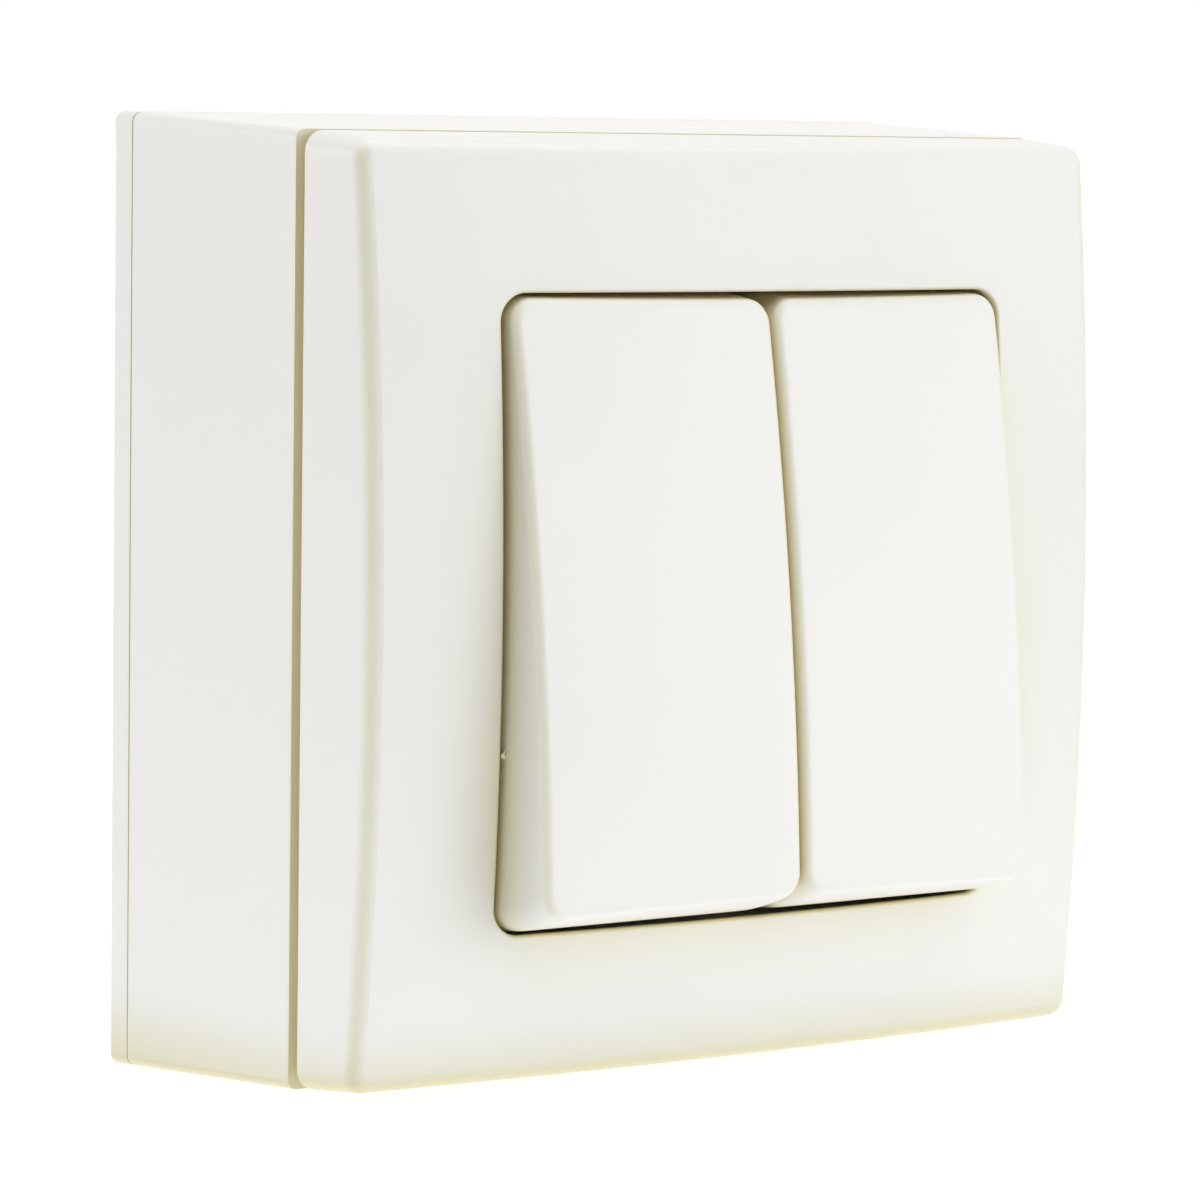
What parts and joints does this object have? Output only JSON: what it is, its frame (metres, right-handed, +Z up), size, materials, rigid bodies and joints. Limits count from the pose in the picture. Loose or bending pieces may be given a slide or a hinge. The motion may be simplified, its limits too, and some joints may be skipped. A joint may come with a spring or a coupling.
{
  "type": "surface mounted light switch",
  "caption": "Square surface mounted switch box with a crowned cover frame and two tall rockers side by side, each with its own see-saw contact",
  "frame": {"origin": "middle of the wall face of the base plate", "axes": "X to the right seen from the front, Y into the wall, Z up"},
  "size_m": [0.085, 0.0466, 0.085],
  "materials": {
    "cream_plastic": "warm cream, satin gloss moulding",
    "housing_plastic": "light grey, matt",
    "carrier_plastic": "white, matt",
    "zinc_steel": "bright zinc plate",
    "brass": "bright brass",
    "copper_strip": "rolled copper alloy",
    "contact_silver": "silver contact face",
    "spring_steel": "plain spring wire"
  },
  "bodies": {
    "left_toggle": {"left_rocker": "cream_plastic", "left_carrier": "carrier_plastic", "left_spring": "spring_steel"},
    "left_plunger": {"left_plunger": "carrier_plastic"},
    "left_bridge": {"left_contact_bridge": "copper_strip", "left_moving_rivet": "contact_silver"},
    "right_toggle": {"right_rocker": "cream_plastic", "right_carrier": "carrier_plastic", "right_spring": "spring_steel"},
    "right_plunger": {"right_plunger": "carrier_plastic"},
    "right_bridge": {"right_contact_bridge": "copper_strip", "right_moving_rivet": "contact_silver"},
    "switch_body": {"base_plate": "cream_plastic", "surface_box": "cream_plastic", "cover_frame": "cream_plastic", "support_plate": "zinc_steel", "mechanism_base": "housing_plastic", "mechanism_cover": "housing_plastic", "fulcrum_bar": "copper_strip", "fixed_rivets": "contact_silver", "line_terminal": "brass", "left_load_terminal": "brass", "right_load_terminal": "brass", "terminal_screws": "zinc_steel", "strap_screws": "zinc_steel", "box_screws": "zinc_steel", "left_fixed_contact": "copper_strip", "right_fixed_contact": "copper_strip"}
  },
  "joints": [
    {"name": "left_rocker_hinge", "type": "hinge", "parent": "switch_body", "child": "left_toggle", "pos_m": [0, -0.035, 0], "axis": [1, 0, 0], "range_deg": [0, 13.3]},
    {"name": "left_plunger_slide", "type": "slide", "parent": "left_toggle", "child": "left_plunger", "axis": [0, -0.9933, 0.1158], "range_m": [0, 0.0005], "stiffness_N_per_m": 200},
    {"name": "left_bridge_hinge", "type": "hinge", "parent": "switch_body", "child": "left_bridge", "pos_m": [-0.01165, -0.019, 0], "axis": [1, 0, 0], "range_deg": [-12, 0]},
    {"name": "right_rocker_hinge", "type": "hinge", "parent": "switch_body", "child": "right_toggle", "pos_m": [0, -0.035, 0], "axis": [1, 0, 0], "range_deg": [0, 13.3]},
    {"name": "right_plunger_slide", "type": "slide", "parent": "right_toggle", "child": "right_plunger", "axis": [0, -0.9933, 0.1158], "range_m": [0, 0.0005], "stiffness_N_per_m": 200},
    {"name": "right_bridge_hinge", "type": "hinge", "parent": "switch_body", "child": "right_bridge", "pos_m": [0.01165, -0.019, 0], "axis": [1, 0, 0], "range_deg": [-12, 0]}
  ],
  "couplings": [
    {"joint": "left_bridge_hinge", "follows": "left_rocker_hinge", "ratio": -0.9},
    {"joint": "right_bridge_hinge", "follows": "right_rocker_hinge", "ratio": -0.9}
  ]
}
